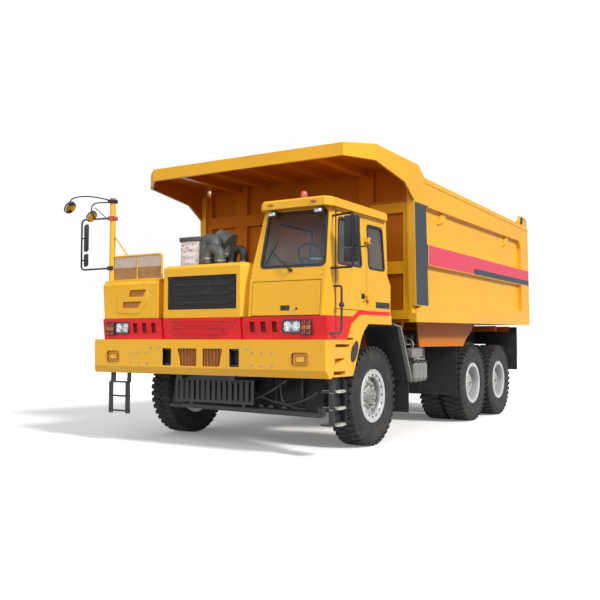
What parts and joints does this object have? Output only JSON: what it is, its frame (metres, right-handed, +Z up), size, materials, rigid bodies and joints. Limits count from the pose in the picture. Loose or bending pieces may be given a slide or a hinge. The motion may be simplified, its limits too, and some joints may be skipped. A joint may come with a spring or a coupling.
{
  "type": "mining dump truck",
  "caption": "Wide-body six-wheel mining dump truck with offset one-man cab, hood and deck, canopied tipping bed, tailgate, steering and rolling wheels.",
  "frame": {"origin": "on the ground, at the middle of the overall length and width", "axes": "+X forward along the truck, +Y to the driver's left, +Z up"},
  "size_m": [8.716, 4.7358, 4.075],
  "materials": {
    "yellow_paint": "glossy machine yellow",
    "red_paint": "glossy red",
    "frame_paint": "satin dark grey",
    "black_trim": "matt black",
    "grey_paint": "satin mid grey",
    "rod_chrome": "ground and plated",
    "lamp_lens": "clear ribbed lens",
    "window_glass": "tinted",
    "tyre": "dark rubber",
    "rim_paint": "silver paint"
  },
  "bodies": {
    "root": {"chassis_frame": "frame_paint", "springs": "frame_paint", "front_axle": "frame_paint", "rear_axles": "frame_paint", "engine": "grey_paint", "driveline": "frame_paint", "radiator": "frame_paint", "tanks": "grey_paint", "battery_box": "frame_paint", "exhaust": "frame_paint", "front_bumper": "yellow_paint", "front_band": "red_paint", "lamps": "lamp_lens", "wheel_arches": "yellow_paint", "arch_liners": "black_trim", "mudguards": "grey_paint", "hood": "yellow_paint", "grille": "black_trim", "air_cleaner": "grey_paint", "fender_box": "yellow_paint", "deck_rail": "yellow_paint", "mirrors": "black_trim", "cab_shell": "yellow_paint", "cab_glass": "window_glass", "cab_roof": "yellow_paint", "cab_interior": "black_trim", "steps": "black_trim"},
    "knuckle_left": {"knuckle_left": "frame_paint"},
    "knuckle_right": {"knuckle_right": "frame_paint"},
    "tie_rod": {"tie_rod": "frame_paint"},
    "wheel_front_left": {"tyre_front_left": "tyre", "rim_front_left": "rim_paint"},
    "wheel_front_right": {"tyre_front_right": "tyre", "rim_front_right": "rim_paint"},
    "wheels_mid_left": {"tyres_mid_left": "tyre", "rims_mid_left": "rim_paint"},
    "wheels_mid_right": {"tyres_mid_right": "tyre", "rims_mid_right": "rim_paint"},
    "wheels_rear_left": {"tyres_rear_left": "tyre", "rims_rear_left": "rim_paint"},
    "wheels_rear_right": {"tyres_rear_right": "tyre", "rims_rear_right": "rim_paint"},
    "cab_door": {"cab_door": "yellow_paint", "door_glass": "window_glass"},
    "cab_hatch": {"cab_hatch": "yellow_paint"},
    "bed": {"bed_floor": "yellow_paint", "bed_sides": "yellow_paint", "bed_headboard": "yellow_paint", "bed_canopy": "yellow_paint", "bed_flaps": "black_trim"},
    "tailgate": {"tailgate": "yellow_paint"},
    "hoist_barrels": {"hoist_barrels": "frame_paint"},
    "hoist_rods": {"hoist_rods": "rod_chrome"}
  },
  "joints": [
    {"name": "steer_left", "type": "hinge", "parent": "root", "child": "knuckle_left", "pos_m": [2.4, 1.23, 0.684], "axis": [0, 0, 1], "range_deg": [-30, 30]},
    {"name": "steer_right", "type": "hinge", "parent": "root", "child": "knuckle_right", "pos_m": [2.4, -1.23, 0.684], "axis": [0, 0, 1], "range_deg": [-30, 30]},
    {"name": "tie_rod_turn", "type": "hinge", "parent": "knuckle_left", "child": "tie_rod", "pos_m": [2.08, 1.23, 0.534], "axis": [0, 0, 1], "range_deg": [-30, 30]},
    {"name": "spin_front_left", "type": "hinge", "parent": "knuckle_left", "child": "wheel_front_left", "pos_m": [2.4, 1.557, 0.684], "axis": [0, 1, 0], "continuous": true},
    {"name": "spin_front_right", "type": "hinge", "parent": "knuckle_right", "child": "wheel_front_right", "pos_m": [2.4, -1.557, 0.684], "axis": [0, 1, 0], "continuous": true},
    {"name": "spin_mid_left", "type": "hinge", "parent": "root", "child": "wheels_mid_left", "pos_m": [-1.715, 1.313, 0.684], "axis": [0, 1, 0], "continuous": true},
    {"name": "spin_mid_right", "type": "hinge", "parent": "root", "child": "wheels_mid_right", "pos_m": [-1.715, -1.313, 0.684], "axis": [0, 1, 0], "continuous": true},
    {"name": "spin_rear_left", "type": "hinge", "parent": "root", "child": "wheels_rear_left", "pos_m": [-3.205, 1.313, 0.684], "axis": [0, 1, 0], "continuous": true},
    {"name": "spin_rear_right", "type": "hinge", "parent": "root", "child": "wheels_rear_right", "pos_m": [-3.205, -1.313, 0.684], "axis": [0, 1, 0], "continuous": true},
    {"name": "door_swing", "type": "hinge", "parent": "root", "child": "cab_door", "pos_m": [2.981, 1.95, 2.45], "axis": [0, 0, 1], "range_deg": [0, 75]},
    {"name": "hatch_lift", "type": "hinge", "parent": "root", "child": "cab_hatch", "pos_m": [4.015, 1.32, 2.186], "axis": [0, -1, 0], "range_deg": [0, 80]},
    {"name": "bed_tip", "type": "hinge", "parent": "root", "child": "bed", "pos_m": [-3.95, 0, 1.15], "axis": [0, -1, 0], "range_deg": [0, 45]},
    {"name": "tailgate_swing", "type": "hinge", "parent": "bed", "child": "tailgate", "pos_m": [-4.15, 0, 3.925], "axis": [0, 1, 0], "range_deg": [0, 60]},
    {"name": "hoist_tilt", "type": "hinge", "parent": "root", "child": "hoist_barrels", "pos_m": [-0.1, 0, 1], "axis": [0, -1, 0], "range_deg": [-15, 0]},
    {"name": "hoist_extend", "type": "slide", "parent": "hoist_barrels", "child": "hoist_rods", "axis": [-0.9806, 0, 0.1961], "range_m": [0, 0.83]}
  ],
  "couplings": [
    {"joint": "steer_right", "follows": "steer_left", "ratio": 1},
    {"joint": "tie_rod_turn", "follows": "steer_left", "ratio": -1},
    {"joint": "hoist_tilt", "follows": "bed_tip", "ratio": -0.31379},
    {"joint": "hoist_extend", "follows": "bed_tip", "m_per_rad": 1.0339}
  ]
}
